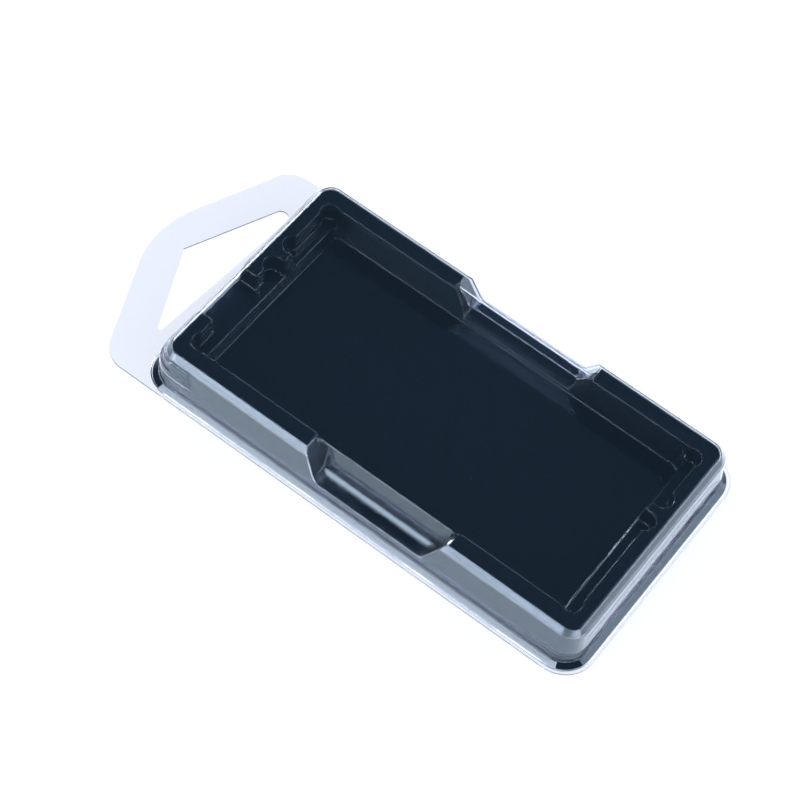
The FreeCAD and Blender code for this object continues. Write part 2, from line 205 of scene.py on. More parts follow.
class StageSettings(bpy.types.PropertyGroup):
    """The floor, the soft studio light and the camera."""
    aim_x: length(3.29, "Aim along", "Where the view meets the top's level, along the pack")
    aim_y: length(-9.10, "Aim across", "Where the view meets the top's level, across the pack")
    distance: length(747.8, "Distance", "Camera to the point that it aims at")
    heading: FloatProperty(name="Heading", description="View's turn from straight across the pack",
                           default=math.radians(25.57), subtype="ANGLE")
    elevation: FloatProperty(name="Elevation", description="Camera's height above the horizon",
                             default=math.radians(56.92), subtype="ANGLE")
    roll: FloatProperty(name="Roll", description="Camera's turn about its line of sight",
                        default=math.radians(12.84), subtype="ANGLE")
    lens: FloatProperty(name="Lens", description="Focal length in millimetres",
                        default=121.33, min=10.0)
    floor_size: length(6000.0, "Floor", "Side of the square floor")
    floor_drop: length(0.05, "Floor drop", "How far the floor lies below the pack")
    lamp_power: FloatProperty(name="Lamp power", description="Power of the lamp overhead",
                              default=1.1, min=0.0, unit="POWER")
    lamp_length: length(700.0, "Lamp length", "Length of the strip lamp overhead, along the pack")
    lamp_width: length(100.0, "Lamp width", "Width of the strip lamp overhead")
    lamp_height: length(1000.0, "Lamp height", "Height of the lamp overhead")
    lamp_x: length(-200.0, "Lamp along", "Place of the lamp along the pack")
    lamp_y: length(-137.0, "Lamp across", "Place of the lamp across the pack")


def eased_ramp(share, ease):
    """A ramp from 0 to 1 whose two ends are rounded: the mean of the clamped share over a window
    of plus and minus the ease."""
    def area(value):
        clamped = np.clip(value, 0.0, 1.0)
        return clamped * clamped / 2 + np.maximum(value - 1.0, 0.0)
    return (area(share + ease) - area(share - ease)) / (2 * ease)


def rounded_rows(corners, reaches, steps):
    """Rows of a section whose corners are rounded. Each corner becomes a parabola from a point on
    the side before it to one on the side after it, both at its reach, or at just under half of a
    shorter side. Corners are (columns, corners, 2), reaches (columns, corners)."""
    before = corners[:, :-2] - corners[:, 1:-1]
    after = corners[:, 2:] - corners[:, 1:-1]
    run_before = np.linalg.norm(before, axis=2)
    run_after = np.linalg.norm(after, axis=2)
    shorter = np.minimum(run_before, run_after)
    reach = np.minimum(reaches[:, 1:-1], LARGEST_REACH * shorter)
    least = 0.001 * WELD
    start = corners[:, 1:-1] + before * (reach / np.maximum(run_before, least))[:, :, None]
    end = corners[:, 1:-1] + after * (reach / np.maximum(run_after, least))[:, :, None]
    share = np.linspace(0.0, 1.0, steps)[None, None, :, None]
    bends = (1 - share) ** 2 * start[:, :, None] + share ** 2 * end[:, :, None]
    bends = bends + 2 * share * (1 - share) * corners[:, 1:-1, None]
    bends = bends.reshape(len(corners), -1, 2)
    return np.concatenate([corners[:, :1], bends, corners[:, -1:]], axis=1)


def grid_faces(columns, rows):
    """Quads of a grid that closes on itself along its columns."""
    column = np.arange(columns)[:, None] * rows
    following = np.roll(column, -1, axis=0)
    row = np.arange(rows - 1)[None, :]
    quads = np.stack([column + row, column + row + 1, following + row + 1, following + row], -1)
    return quads.reshape(-1, 4)


class Outline:
    """Columns round the flat top's rounded rectangle, anticlockwise from the left end of the near
    side. Each has a point on the outline, an outward normal, its side as the direction that the
    side faces in degrees, and its place along the pack."""

    def __init__(self, profile, stations, corner_steps):
        half_x = profile.top_length / 2 - profile.top_corner
        half_y = profile.top_width / 2 - profile.top_corner
        self.middle_x = (COVER_HIGH.x - profile.top_length / 2 - profile.bevel_out
                         - profile.wall_out - profile.foot_out - profile.edge_out
                         - profile.flange_out)
        long, short = np.sort(stations["long"]), np.sort(stations["short"])
        quarter = np.linspace(0.0, math.pi / 2, corner_steps + 2)
        places, normals, sides, along = [], [], [], []
        for turn, run, reach, other in (
            (-90, long, half_x, half_y),
            (0, short, half_y, half_x),
            (90, -long[::-1], half_x, half_y),
            (180, -short[::-1], half_y, half_x),
        ):
            angle = math.radians(turn)
            ahead = np.array([-math.sin(angle), math.cos(angle)])
            out = np.array([math.cos(angle), math.sin(angle)])
            straight = run[(run > -reach) & (run < reach)]
            places.append(out * (other + profile.top_corner) + straight[:, None] * ahead)
            normals.append(np.broadcast_to(out, (len(straight), 2)))
            sides.append(np.full(len(straight), turn))
            on_long_side = turn in (-90, 90)
            along.append(straight * ahead[0] if on_long_side else np.full(len(straight), FAR))
            bend = np.stack([np.cos(angle + quarter), np.sin(angle + quarter)], -1)
            places.append(out * other + ahead * reach + bend * profile.top_corner)
            normals.append(bend)
            sides.append(np.full(len(bend), turn + 45))
            along.append(np.full(len(bend), FAR))
        self.places = np.concatenate(places)
        self.normals = np.concatenate(normals)
        self.sides = np.concatenate(sides)
        self.along = np.concatenate(along)

    def surface(self, rows):
        """Points of a section carried round the outline: (columns, rows, 3) from rows of how far
        out and how high."""
        plan = self.places[:, None] + self.normals[:, None] * rows[:, :, :1]
        plan = plan + np.array([self.middle_x, 0.0])
        return np.concatenate([plan, rows[:, :, 1:]], axis=2)


def wall_offset(profile, height, top):
    """How far out the bevel or the wall stands at a height, on the straight lines between the
    flat top's edge, the foot of the bevel and the top of the foot."""
    bevel_foot = top - profile.bevel_drop
    wall_foot = profile.foot_height + profile.foot_rise
    on_bevel = (top - height) / profile.bevel_drop * profile.bevel_out
    down_wall = (bevel_foot - height) / (bevel_foot - wall_foot)
    on_wall = profile.bevel_out + down_wall * profile.wall_out
    return np.where(height > bevel_foot, on_bevel, on_wall)


def notch_depths(notch, depth, place):
    """Depth of a thumb notch at places along the pack: a slope at each end down to the bevel, then
    the bevel down to the flat floor. Each is a ramp of its own, and their sum is the depth."""
    from_middle = np.abs(place - notch.middle)
    slope = (notch.top_width - notch.floor_width) / 2
    bevel_start = notch.floor_width / 2 + slope * notch.bevel_rise / depth
    down_slope = (notch.top_width / 2 - from_middle) / (notch.top_width / 2 - bevel_start)
    down_bevel = (bevel_start - from_middle) / notch.bevel_in
    return ((depth - notch.bevel_rise) * eased_ramp(down_slope, SLOPE_EASE)
            + notch.bevel_rise * eased_ramp(down_bevel, BEVEL_EASE))


def notch_corner_bend(notch, place):
    """How far the notch's back wall has bent outwards, near the notch's two ends."""
    from_middle = np.abs(place - notch.middle)
    start = notch.top_width / 2 - notch.corner
    into = np.clip(from_middle - start, 0.0, notch.corner)
    return notch.corner - np.sqrt(notch.corner ** 2 - into ** 2)


def stations(profile, notch):
    """Places of the columns along a long side and along a short one. They are close together
    where the notch's ends bend and at the ends of the long sides."""
    half_top, half_floor = notch.top_width / 2, notch.floor_width / 2
    bend = np.arange(half_floor - INSIDE_FLOOR, half_top + OUTSIDE_TOP, COLUMN_GAP)
    half_flat = half_floor - FLOOR_MARGIN
    reach = profile.top_length / 2 - profile.top_corner
    end = np.linspace(reach - END_RUN, reach - COLUMN_GAP, END_COLUMNS)
    runs = [notch.middle - bend, notch.middle + bend, -end, end,
            np.linspace(notch.middle - half_flat, notch.middle + half_flat, FLOOR_COLUMNS)]
    runs += [np.linspace(*stretch, PLAIN_COLUMNS) for stretch in PLAIN_STRETCHES]
    reach = profile.top_width / 2 - profile.top_corner - COLUMN_GAP
    return {"long": np.concatenate(runs), "short": np.linspace(-reach, reach, SHORT_COLUMNS)}


def pressed_in(profile, grip, outline, height):
    """How deep the wall is pressed in, at every column and row. At the right end a groove with a
    round section runs round each corner. At the left end the wall stands out there instead, in a
    patch with an oblique end, and once more below a step that crosses the patch."""
    half_x = profile.top_length / 2 - profile.top_corner
    half_y = profile.top_width / 2 - profile.top_corner
    along = half_x - np.abs(outline.places[:, 0])
    across = half_y - np.abs(outline.places[:, 1])
    straight = np.where(np.isin(outline.sides, (-90, 90)), along, across)
    straight = np.where(outline.sides % 90 == 0, np.maximum(straight, 0.0), 0.0)[:, None]
    soft = grip.end_run
    from_groove = height - grip.snap_height
    chord = np.sqrt(np.maximum(grip.snap_radius ** 2 - from_groove ** 2, 0.0))
    groove = np.maximum(chord - grip.snap_radius + grip.snap_bite, 0.0)
    groove = groove * eased_ramp((grip.snap_run - straight) / (2 * soft), END_EASE)
    lean = grip.slant * (grip.patch_high - height)
    inside = eased_ramp((height - grip.patch_low) / soft, END_EASE)
    inside = inside * eased_ramp((grip.patch_high - height) / grip.patch_step, STEP_EASE)
    patch = inside * eased_ramp((grip.patch_run + lean - straight) / soft, END_EASE)
    step = eased_ramp((grip.rib_height - height) / grip.patch_step, STEP_EASE)
    step = inside * step * eased_ramp((grip.rib_run + lean - straight) / soft, END_EASE)
    right = (outline.places[:, 0] > 0)[:, None]
    return np.where(right, groove, -grip.patch_rise * (patch + step))


def wall_shares(grip, top, bottom):
    """Places of the rows down the wall, as shares of its height. They are close together at the
    steps of the patches and at the grooves, and even elsewhere."""
    near_step = np.linspace(*STEP_SPREAD, LEDGE_ROWS) * grip.patch_step
    near_groove = np.linspace(*GROOVE_SPREAD, LEDGE_ROWS) * grip.snap_radius
    heights = [near_step + grip.patch_high, near_step + grip.rib_height,
               near_groove + grip.snap_height, np.linspace(bottom, top, WALL_ROWS)[1:-1]]
    share = np.sort((top - np.concatenate(heights)) / (top - bottom))
    return share[(share > WALL_MARGIN) & (share < 1 - WALL_MARGIN)]


def cover_section(profile, notch, grip, outline):
    """The outer section of the cover at every column, as rows of how far out and how high. Each
    of its corners is listed with the share of the edge rounding that it gets. Outside the notches
    the corners of the notch lie on the flat top and at its edge."""
    top = COVER_HIGH.z
    place = outline.along
    on_long_side = np.isin(outline.sides, (-90, 90))
    full = np.where(outline.sides < 0, notch.near_depth, notch.far_depth)
    depth = np.where(on_long_side, notch_depths(notch, full, place), 0.0)
    depth = np.where(depth < 10 * WELD, 0.0, depth)
    bend = np.where(on_long_side, notch_corner_bend(notch, place), notch.corner)
    floor = top - depth
    back = -notch.reach + bend
    drafted = np.minimum(depth, full - notch.bevel_rise)
    bevel_back = back + notch.draft * drafted / full
    floor_back = bevel_back + notch.bevel_in * (depth - drafted) / notch.bevel_rise
    bevel_foot = top - profile.bevel_drop
    below = np.clip((bevel_foot - floor) / 2, LEAST_BELOW, MOST_BELOW)
    shoulder = np.where(floor > bevel_foot, bevel_foot, floor - below)
    foot = profile.bevel_out + profile.wall_out
    edge = foot + profile.foot_out
    film = profile.film
    edge_at_film = edge + profile.edge_out * (profile.foot_height - film) / profile.foot_height
    corners = [
        (back - TOP_STRIP, top, 0.0),
        (back, top, 1.0),
        (bevel_back, top - drafted, 0.5),
        (floor_back, floor, np.where(depth > drafted, 0.6, 1.6)),
        (wall_offset(profile, floor, top), floor, 0.5),
        (wall_offset(profile, shoulder, top), shoulder, 0.4),
        (foot, profile.foot_height + profile.foot_rise, 0.4),
        (edge, profile.foot_height, 0.25),
        (edge_at_film, film, 0.2),
        (edge + profile.edge_out + profile.flange_out / 2, film, 0.0),
    ]
    corners = np.stack([np.stack(np.broadcast_arrays(*corner, place)[:3], -1)
                        for corner in corners], axis=1)
    rows = rounded_rows(corners[:, :, :2], corners[:, :, 2] * profile.edge_round, BEND_ROWS)
    # The wall lies between the fifth and the sixth rounded corner.
    wall_row = 5 * BEND_ROWS
    wall_start, wall_end = rows[:, wall_row, None], rows[:, wall_row + 1, None]
    share = wall_shares(grip, wall_start[:, 0, 1].max(), wall_end[:, 0, 1].min())[None, :, None]
    wall = wall_start + share * (wall_end - wall_start)
    wall[:, :, 0] -= pressed_in(profile, grip, outline, wall[:, :, 1])
    return np.concatenate([rows[:, :wall_row + 1], wall, rows[:, wall_row + 1:]], axis=1)


def corner_arc(before, at, after, radius):
    """Points of the arc that rounds a corner of an outline. Its middle lies on the line that halves
    the corner, and its two ends are turned into each other by shares of the sweep."""
    to_before = (before - at) / np.linalg.norm(before - at)
    to_after = (after - at) / np.linalg.norm(after - at)
    half = math.acos(np.clip(to_before @ to_after, -1.0, 1.0)) / 2
    inward = to_before + to_after
    middle = at + inward / np.linalg.norm(inward) * (radius / math.sin(half))
    start = at + to_before * radius / math.tan(half) - middle
    end = at + to_after * radius / math.tan(half) - middle
    sweep = math.pi - 2 * half
    share = np.linspace(0.0, 1.0, ARC_STEPS)[:, None]
    turned = np.sin((1 - share) * sweep) * start + np.sin(share * sweep) * end
    return middle + turned / math.sin(sweep)


def rounded_polygon(corners):
    """An outline through (x, y, radius) corners, each rounded by its arc."""
    points = np.array([corner[:2] for corner in corners])
    arcs = []
    for i, corner in enumerate(corners):
        arcs.append(corner_arc(points[i - 1], points[i], points[(i + 1) % len(points)], corner[2]))
    return np.concatenate(arcs)


def add_loop(bm, points, height):
    """A closed loop of edges at a height."""
    verts = [bm.verts.new((x, y, height)) for x, y in points]
    return [bm.edges.new((verts[i - 1], verts[i])) for i in range(len(verts))]


def row_edges(bm, row_verts):
    """The edges that join a closed row of vertices."""
    count = len(row_verts)
    return [bm.edges.get((row_verts[i - 1], row_verts[i])) for i in range(count)]


def new_object(name, mesh):
    """An object of the scene with a mesh."""
    obj = bpy.data.objects.new(name, mesh)
    bpy.context.scene.collection.objects.link(obj)
    return obj


def apply_modifiers(obj):
    """Puts the result of an object's modifiers in its mesh."""
    depsgraph = bpy.context.evaluated_depsgraph_get()
    mesh = bpy.data.meshes.new_from_object(obj.evaluated_get(depsgraph))
    obj.modifiers.clear()
    obj.data = mesh
    mesh.name = obj.name


def smooth(obj):
    """Shades an object smooth, apart from its sharp edges. The large faces keep their own direction
    up to their edges."""
    obj.data.shade_smooth()
    obj.data.set_sharp_from_angle(angle=math.radians(SHARP_TURN))
    normals = obj.modifiers.new("flat_faces", "WEIGHTED_NORMAL")
    normals.mode = "FACE_AREA"
    normals.weight = FACE_WEIGHT
    normals.keep_sharp = True
    apply_modifiers(obj)


def cover_mesh(profile, notch, grip, tab):
    """The cover's outer face: its section carried round the flat top, closed by the flat top and
    by the flange with its tab and hole."""
    outline = Outline(profile, stations(profile, notch), CORNER_COLUMNS)
    points = outline.surface(cover_section(profile, notch, grip, outline))
    columns, rows = points.shape[:2]
    mesh = bpy.data.meshes.new("clear_cover_shell")
    mesh.from_pydata(points.reshape(-1, 3), [], grid_faces(columns, rows))
    bm = bmesh.new()
    bm.from_mesh(mesh)
    bm.verts.ensure_lookup_table()
    inner = [bm.verts[i * rows] for i in range(columns)]
    outer = [bm.verts[i * rows + rows - 1] for i in range(columns)]
    bmesh.ops.triangle_fill(bm, edges=row_edges(bm, inner), use_beauty=True, use_dissolve=False,
                            normal=(0, 0, 1))
    past = (profile.bevel_out + profile.wall_out + profile.foot_out + profile.edge_out
            + profile.flange_out)
    left = outline.middle_x - profile.top_length / 2 - past
    right = COVER_HIGH.x
    side = profile.top_width / 2 + past
    corner = profile.top_corner + past
    edge = rounded_polygon([
        (right, -side, corner),
        (right, side, corner),
        (left - tab.shoulder, side, tab.corner),
        (left - tab.point, 0.0, tab.tip),
        (left - tab.shoulder, -side, tab.corner),
    ])
    hole = rounded_polygon([
        (left - tab.hole_near_out, -tab.hole_near_side, tab.hole_near_radius),
        (left + tab.hole_far_in, tab.hole_far_side, tab.hole_far_radius),
        (left - tab.hole_point, 0.0, tab.hole_point_radius),
    ])
    rim = add_loop(bm, edge, profile.film) + add_loop(bm, hole, profile.film)
    bmesh.ops.triangle_fill(bm, edges=row_edges(bm, outer) + rim, use_beauty=True,
                            use_dissolve=False, normal=(0, 0, 1))
    bmesh.ops.remove_doubles(bm, verts=bm.verts, dist=2 * WELD)
    bmesh.ops.dissolve_degenerate(bm, edges=bm.edges, dist=WELD)
    bmesh.ops.recalc_face_normals(bm, faces=bm.faces)
    bm.to_mesh(mesh)
    bm.free()
    return mesh


def mark_edges(bm, lowest):
    """Marks the edges to be rounded: those that turn far enough and lie above a height."""
    turn = math.radians(ROUNDED_TURN)
    weight = bm.edges.layers.float.new("bevel_weight_edge")
    for edge in bm.edges:
        above = min(vert.co.z for vert in edge.verts) > lowest
        edge[weight] = float(above and edge.calc_face_angle(0.0) > turn)


def merged_copy(node, name, lowest):
    """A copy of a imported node's mesh with its loose triangles joined and its flat faces whole. Its
    edges above a height are marked for rounding."""
    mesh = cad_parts[node].data.copy()
    mesh.name = name
    mesh.materials.clear()
    bm = bmesh.new()
    bm.from_mesh(mesh)
    bmesh.ops.remove_doubles(bm, verts=bm.verts, dist=WELD)
    bmesh.ops.dissolve_limit(bm, angle_limit=math.radians(FLAT_TURN), verts=bm.verts,
                             edges=bm.edges)
    mark_edges(bm, lowest)
    bm.to_mesh(mesh)
    bm.free()
    return mesh


def new_material(name):
    """A node material with its Principled shader and its output."""
    material = bpy.data.materials.new(name)
    material.use_nodes = True
    nodes = material.node_tree.nodes
    return material, nodes["Principled BSDF"], nodes["Material Output"]


def group_input(group, name, default):
    """Adds a number to what a node group takes."""
    socket = group.interface.new_socket(name=name, in_out="INPUT", socket_type="NodeSocketFloat")
    socket.default_value = default


# The skin of the sheets. A scuff is a spot about the middle of a cell, stretched and turned, and
# scuffs lie where a broad noise is high. Each edge runs from where a mask is 0 to where it is 1.
WAVE_DETAIL = 1.5
SCUFF_SCALE = 170.0
SCUFF_TURN = (0.0, 0.0, math.radians(35.0))
SCUFF_STRETCH = (1.0, 0.3, 1.0)
SCUFF_EDGE = (0.09, 0.05)
AREA_SCALE = 45.0
AREA_EDGE = (0.60, 0.70)
FILM_SKIN = {"Wave Scale": 45.0, "Wave Depth": 0.00006, "Scuff Roughness": 0.3}
TRAY_SKIN = {"Wave Scale": 90.0, "Wave Depth": 0.00003, "Scuff Roughness": 0.5}


def add_mask(nodes, edge):
    """A node that turns a value into a mask, which runs from 0 to 1 between the edge's values."""
    mask = nodes.new("ShaderNodeMapRange")
    mask.inputs["From Min"].default_value, mask.inputs["From Max"].default_value = edge
    return mask


def formed_surface():
    """The skin that a drawn sheet has: shallow waves, and a few short scuffs that are duller. Waves
    are a noise on the object's own place. Scuffs are the small spots of a stretched cell pattern
    where a broad noise is high, and the mask of both runs between the two roughnesses."""
    group = bpy.data.node_groups.new("formed_surface", "ShaderNodeTree")
    group_input(group, "Wave Scale", 60.0)
    group_input(group, "Wave Depth", 0.0003)
    group_input(group, "Clean Roughness", 0.03)
    group_input(group, "Scuff Roughness", 0.4)
    group.interface.new_socket(name="Roughness", in_out="OUTPUT", socket_type="NodeSocketFloat")
    group.interface.new_socket(name="Normal", in_out="OUTPUT", socket_type="NodeSocketVector")
    nodes, links = group.nodes, group.links
    inputs, outputs = nodes.new("NodeGroupInput"), nodes.new("NodeGroupOutput")
    place = nodes.new("ShaderNodeTexCoord")
    waves = nodes.new("ShaderNodeTexNoise")
    waves.inputs["Detail"].default_value = WAVE_DETAIL
    bump = nodes.new("ShaderNodeBump")
    links.new(place.outputs["Object"], waves.inputs["Vector"])
    links.new(inputs.outputs["Wave Scale"], waves.inputs["Scale"])
    links.new(waves.outputs["Fac"], bump.inputs["Height"])
    links.new(inputs.outputs["Wave Depth"], bump.inputs["Distance"])
    turned = nodes.new("ShaderNodeMapping")
    turned.inputs["Rotation"].default_value = SCUFF_TURN
    turned.inputs["Scale"].default_value = SCUFF_STRETCH
    spots = nodes.new("ShaderNodeTexVoronoi")
    spots.inputs["Scale"].default_value = SCUFF_SCALE
    spot = add_mask(nodes, SCUFF_EDGE)
    areas = nodes.new("ShaderNodeTexNoise")
    areas.inputs["Scale"].default_value = AREA_SCALE
    area = add_mask(nodes, AREA_EDGE)
    both = nodes.new("ShaderNodeMath")
    both.operation = "MULTIPLY"
    dull = nodes.new("ShaderNodeMapRange")
    links.new(place.outputs["Object"], turned.inputs["Vector"])
    links.new(turned.outputs["Vector"], spots.inputs["Vector"])
    links.new(spots.outputs["Distance"], spot.inputs["Value"])
    links.new(place.outputs["Object"], areas.inputs["Vector"])
    links.new(areas.outputs["Fac"], area.inputs["Value"])
    links.new(spot.outputs["Result"], both.inputs[0])
    links.new(area.outputs["Result"], both.inputs[1])
    links.new(both.outputs[0], dull.inputs["Value"])
    links.new(inputs.outputs["Clean Roughness"], dull.inputs["To Min"])
    links.new(inputs.outputs["Scuff Roughness"], dull.inputs["To Max"])
    links.new(dull.outputs["Result"], outputs.inputs["Roughness"])
    links.new(bump.outputs["Normal"], outputs.inputs["Normal"])
    return group


def dress(material, shader, skin_values, clean):
    """Gives a material the formed surface with its own values and its roughness where clean."""
    tree = material.node_tree
    skin = tree.nodes.new("ShaderNodeGroup")
    skin.node_tree = bpy.data.node_groups.get("formed_surface") or formed_surface()
    skin.inputs["Clean Roughness"].default_value = clean
    for name, value in skin_values.items():
        skin.inputs[name].default_value = value
    tree.links.new(skin.outputs["Roughness"], shader.inputs["Roughness"])
    tree.links.new(skin.outputs["Normal"], shader.inputs["Normal"])


def clear_film(finish):
    """Clear rigid film: glass-like, and rays that carry soft light or shadow pass straight through
    it with the tint of its shadow."""
    material, shader, output = new_material("clear_film")
    shader.inputs["Base Color"].default_value = (*finish.film_tint, 1.0)
    dress(material, shader, FILM_SKIN, finish.film_gloss)
    shader.inputs["IOR"].default_value = finish.film_ior
    shader.inputs["Specular Tint"].default_value = (*finish.gloss_tint, 1.0)
    shader.inputs["Transmission Weight"].default_value = 1.0
    tree = material.node_tree
    light = tree.nodes.new("ShaderNodeLightPath")
    passing = tree.nodes.new("ShaderNodeBsdfTransparent")
    passing.inputs["Color"].default_value = (*finish.film_shadow, 1.0)
    mix = tree.nodes.new("ShaderNodeMixShader")
    past = tree.nodes.new("ShaderNodeMath")
    past.operation = "MAXIMUM"
    tree.links.new(light.outputs["Is Shadow Ray"], past.inputs[0])
    tree.links.new(light.outputs["Is Diffuse Ray"], past.inputs[1])
    tree.links.new(past.outputs[0], mix.inputs[0])
    tree.links.new(shader.outputs[0], mix.inputs[1])
    tree.links.new(passing.outputs[0], mix.inputs[2])
    tree.links.new(mix.outputs[0], output.inputs["Surface"])
    return material


def black_sheet(finish):
    """Glossy black sheet with the faint unevenness of a drawn film."""
    material, shader, _ = new_material("black_sheet")
    shader.inputs["Base Color"].default_value = (*finish.tray_black, 1.0)
    dress(material, shader, TRAY_SKIN, finish.tray_gloss)
    shader.inputs["IOR"].default_value = finish.tray_ior
    shader.inputs["Specular Tint"].default_value = (*finish.gloss_tint, 1.0)
    return material


class PACK_OT_clear_cover(bpy.types.Operator):
    """Builds the clear cover with its flange and hang tab"""
    bl_idname = "pack.clear_cover"
    bl_label = "Clear cover"

    def execute(self, context):
        scene = context.scene
        mesh = cover_mesh(scene.pack_profile, scene.pack_notch, scene.pack_grip, scene.pack_tab)
        piece = new_object("clear_cover_film", mesh)
        solid = piece.modifiers.new("film", "SOLIDIFY")
        solid.thickness = scene.pack_profile.film
        solid.offset = -1.0
        solid.use_even_offset = True
        solid.use_quality_normals = True
        apply_modifiers(piece)
        smooth(piece)
        piece.data.materials.append(clear_film(scene.pack_finish))
        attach(piece, "cover")
        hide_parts("clear_cover")
        return {"FINISHED"}


class PACK_OT_inner_tray(bpy.types.Operator):
    """Builds the black tray with its recess, ledges and channels"""
    bl_idname = "pack.inner_tray"
    bl_label = "Inner tray"

    def execute(self, context):
        finish = context.scene.pack_finish
        mesh = merged_copy("inner_tray", "inner_tray_sheet", finish.tray_cut)
        piece = new_object("inner_tray_sheet", mesh)
        bevel = piece.modifiers.new("edges", "BEVEL")
        bevel.width = finish.tray_round
        bevel.segments = TRAY_BEND_STEPS
        bevel.use_clamp_overlap = False
        bevel.limit_method = "WEIGHT"
        apply_modifiers(piece)
        smooth(piece)
        piece.data.materials.append(black_sheet(finish))
        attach(piece, "tray")
        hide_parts("inner_tray")
        return {"FINISHED"}


# The floor's own colour, and its glow in what the sheets mirror and where it is seen.
FLOOR_COLOUR = (0.50, 0.49, 0.48, 1.0)
MIRRORED_GLOW = (0.97, 1.26, 1.47, 1.0)
SEEN_GLOW = (0.77, 0.77, 0.77, 1.0)


def floor_material():
    """White floor. Rays from the camera, and those that come through the film, get most of their
    light from its glow, so that it shows white and still keeps a faint shadow. Mirrored rays get a
    bluer glow."""
    material, shader, output = new_material("floor")
    shader.inputs["Base Color"].default_value = FLOOR_COLOUR
    shader.inputs["Roughness"].default_value = 1.0
    shader.inputs["Specular IOR Level"].default_value = 0.0
    tree = material.node_tree
    light = tree.nodes.new("ShaderNodeLightPath")
    seen = tree.nodes.new("ShaderNodeMath")
    seen.operation = "MAXIMUM"
    tint = tree.nodes.new("ShaderNodeMix")
    tint.data_type = "RGBA"
    tint.inputs["A"].default_value = MIRRORED_GLOW
    tint.inputs["B"].default_value = SEEN_GLOW
    shown = tree.nodes.new("ShaderNodeMath")
    shown.operation = "MAXIMUM"
    glow = tree.nodes.new("ShaderNodeEmission")
    add = tree.nodes.new("ShaderNodeAddShader")
    tree.links.new(light.outputs["Is Camera Ray"], seen.inputs[0])
    tree.links.new(light.outputs["Is Transmission Ray"], seen.inputs[1])
    tree.links.new(seen.outputs[0], tint.inputs["Factor"])
    tree.links.new(seen.outputs[0], shown.inputs[0])
    tree.links.new(light.outputs["Is Glossy Ray"], shown.inputs[1])
    tree.links.new(tint.outputs["Result"], glow.inputs["Color"])
    tree.links.new(shown.outputs[0], glow.inputs["Strength"])
    tree.links.new(shader.outputs[0], add.inputs[0])
    tree.links.new(glow.outputs[0], add.inputs[1])
    tree.links.new(add.outputs[0], output.inputs["Surface"])
    return material


# The sky as heights, from 0 at the horizon to 1 overhead, with the colour at each.
SKY_STRENGTH = 5.0
SKY = (
    (0.02, (0.24, 0.27, 0.30)),
    (0.05, (0.92, 0.96, 1.0)),
    (0.14, (0.92, 0.96, 1.0)),
    (0.18, (0.25, 0.28, 0.31)),
    (0.50, (0.22, 0.25, 0.28)),
    (0.68, (0.015, 0.026, 0.035)),
)


def studio_world():
    """White to the camera. Otherwise a bright ring just above the horizon, grey over it and dark
    overhead."""
    world = bpy.data.worlds.new("studio")
    world.use_nodes = True
    tree = world.node_tree
    output = tree.nodes["World Output"]
    around = tree.nodes["Background"]
    white = tree.nodes.new("ShaderNodeBackground")
    white.inputs["Color"].default_value = (1.0, 1.0, 1.0, 1.0)
    light = tree.nodes.new("ShaderNodeLightPath")
    mix = tree.nodes.new("ShaderNodeMixShader")
    place = tree.nodes.new("ShaderNodeTexCoord")
    parts = tree.nodes.new("ShaderNodeSeparateXYZ")
    ramp = tree.nodes.new("ShaderNodeValToRGB")
    while len(ramp.color_ramp.elements) < len(SKY):
        ramp.color_ramp.elements.new(1.0)
    for stop, (height, colour_there) in zip(ramp.color_ramp.elements, SKY):
        stop.position = height
        stop.color = (*colour_there, 1.0)
    around.inputs["Strength"].default_value = SKY_STRENGTH
    tree.links.new(place.outputs["Generated"], parts.inputs[0])
    tree.links.new(parts.outputs["Z"], ramp.inputs["Fac"])
    tree.links.new(ramp.outputs["Color"], around.inputs["Color"])
    tree.links.new(light.outputs["Is Camera Ray"], mix.inputs[0])
    tree.links.new(around.outputs[0], mix.inputs[1])
    tree.links.new(white.outputs[0], mix.inputs[2])
    tree.links.new(mix.outputs[0], output.inputs["Surface"])
    return world


def aimed(position, target, roll):
    """The matrix of a camera or lamp at a position that looks at a target, turned by a roll."""
    turn = (target - position).to_track_quat("-Z", "Y").to_matrix().to_4x4()
    return Matrix.Translation(position) @ turn @ Matrix.Rotation(roll, 4, "Z")


# The camera's sensor in its own millimetres, and how near it sees, in metres.
SENSOR_WIDTH = 36.0
NEAREST = 0.01


def add_camera(stage):
    """The camera at the photograph's angle: a line of sight that drops at the elevation towards
    the far left, and a roll about it."""
    aim = Vector((stage.aim_x, stage.aim_y, COVER_HIGH.z))
    level = math.cos(stage.elevation)
    back = Vector((math.sin(stage.heading) * level, -math.cos(stage.heading) * level,
                   math.sin(stage.elevation)))
    camera = bpy.data.cameras.new("camera")
    camera.sensor_width = SENSOR_WIDTH
    camera.lens = stage.lens
    camera.clip_start = NEAREST
    obj = bpy.data.objects.new("camera", camera)
    obj.matrix_world = aimed(aim + back * stage.distance, aim, stage.roll)
    bpy.context.scene.collection.objects.link(obj)
    bpy.context.scene.camera = obj


def add_lamp(name, power, size, position, matrix):
    """A soft lamp with a length and a width. The matrix turns it."""
    lamp = bpy.data.lights.new(name, "AREA")
    lamp.shape = "RECTANGLE"
    lamp.energy = power
    lamp.size, lamp.size_y = size
    obj = bpy.data.objects.new(name, lamp)
    obj.matrix_world = Matrix.Translation(position) @ matrix
    bpy.context.scene.collection.objects.link(obj)
    return obj


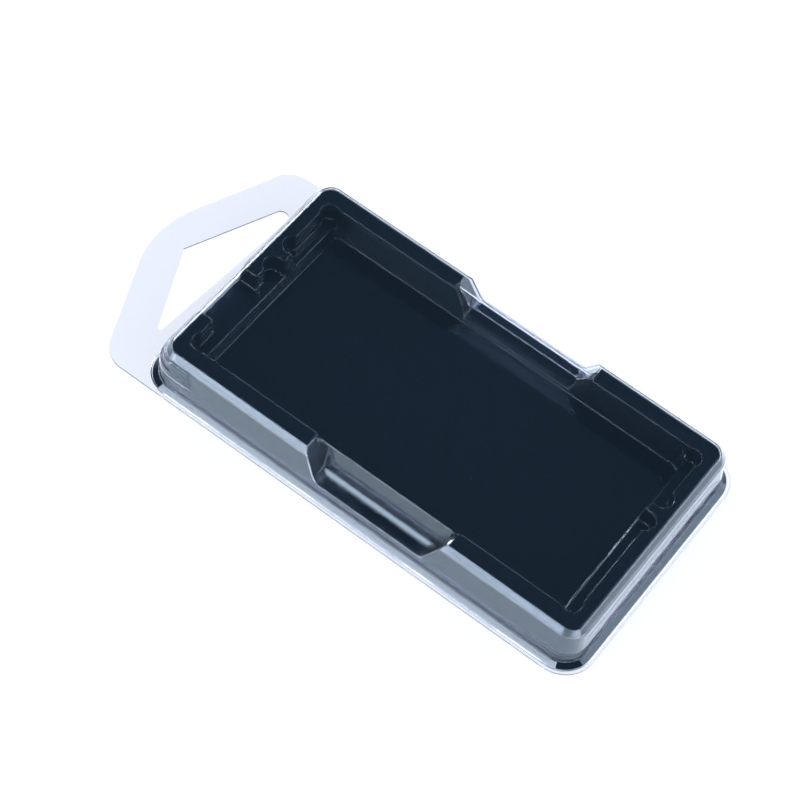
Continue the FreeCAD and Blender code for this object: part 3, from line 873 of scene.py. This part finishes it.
# Lamps that show only in what the sheets mirror, and their colour. Each has its name, its power in
# watts, its width and height, and its place, both in millimetres.
REFLECTOR_COLOUR = (0.86, 0.93, 1.0)
REFLECTORS = (
    ("side", 2.8, (700.0, 700.0), (620.0, 600.0, 800.0)),
    ("back", 3.0, (500.0, 500.0), (-330.0, 1170.0, 700.0)),
    ("left", 5.0, (320.0, 320.0), (-950.0, 440.0, 190.0)),
    ("front_low", 1.3, (760.0, 200.0), (-250.0, -1000.0, 150.0)),
    ("front_high", 1.0, (400.0, 170.0), (-250.0, -1000.0, 390.0)),
    ("front_top", 1.2, (350.0, 300.0), (-265.0, -780.0, 760.0)),
)


def add_reflector(name, power, size, place):
    """A lamp that faces the pack and shows only in what mirrors it."""
    position = Vector(place) * MM
    facing = (-position).to_track_quat("-Z", "Y").to_matrix().to_4x4()
    lamp = add_lamp(name, power, [side * MM for side in size], position, facing)
    lamp.data.color = REFLECTOR_COLOUR
    lamp.visible_diffuse = False


class PACK_OT_stage(bpy.types.Operator):
    """Sets up the floor, the light and the camera"""
    bl_idname = "pack.stage"
    bl_label = "Stage"

    def execute(self, context):
        scene = context.scene
        stage = scene.pack_stage
        half = stage.floor_size / 2
        level = -stage.floor_drop
        mesh = bpy.data.meshes.new("floor")
        mesh.from_pydata([(-half, -half, level), (half, -half, level), (half, half, level),
                          (-half, half, level)], [], [(0, 1, 2, 3)])
        floor = new_object("floor", mesh)
        mesh.materials.append(floor_material())
        scene.world = studio_world()
        scene.view_settings.view_transform = "Standard"
        add_lamp("overhead", stage.lamp_power, (stage.lamp_length, stage.lamp_width),
                 Vector((stage.lamp_x, stage.lamp_y, stage.lamp_height)), Matrix.Identity(4))
        for reflector in REFLECTORS:
            add_reflector(*reflector)
        add_camera(stage)
        return {"FINISHED"}


class PACK_PT_panel(bpy.types.Panel):
    """Lists the steps that build the pack"""
    bl_idname = "PACK_PT_panel"
    bl_label = "Clear retail pack"
    bl_space_type = "VIEW_3D"
    bl_region_type = "UI"
    bl_category = "Pack"

    def draw(self, context):
        for step in STEPS:
            self.layout.operator(f"pack.{step}")
        for group in PROPERTIES:
            settings = getattr(context.scene, group)
            box = self.layout.box()
            for prop in settings.bl_rna.properties:
                if prop.identifier not in ("rna_type", "name"):
                    box.prop(settings, prop.identifier)


STEPS = ("stage", "inner_tray", "clear_cover")
PROPERTIES = {
    "pack_profile": PackProfile,
    "pack_notch": NotchSizes,
    "pack_grip": GripSizes,
    "pack_tab": TabSizes,
    "pack_finish": Finish,
    "pack_stage": StageSettings,
}
CLASSES = (*PROPERTIES.values(), PACK_OT_stage, PACK_OT_inner_tray, PACK_OT_clear_cover,
           PACK_PT_panel)


def register():
    """Registers the classes and puts each group of settings on the scene."""
    for cls in CLASSES:
        bpy.utils.register_class(cls)
    for name, group in PROPERTIES.items():
        setattr(bpy.types.Scene, name, PointerProperty(type=group))


def unregister():
    """Takes the settings and the classes away again."""
    for name in PROPERTIES:
        delattr(bpy.types.Scene, name)
    for cls in reversed(CLASSES):
        bpy.utils.unregister_class(cls)


def main():
    """Builds the stage and the pieces."""
    register()
    for step in STEPS:
        getattr(bpy.ops.pack, step)()


if __name__ == "__main__":
    main()
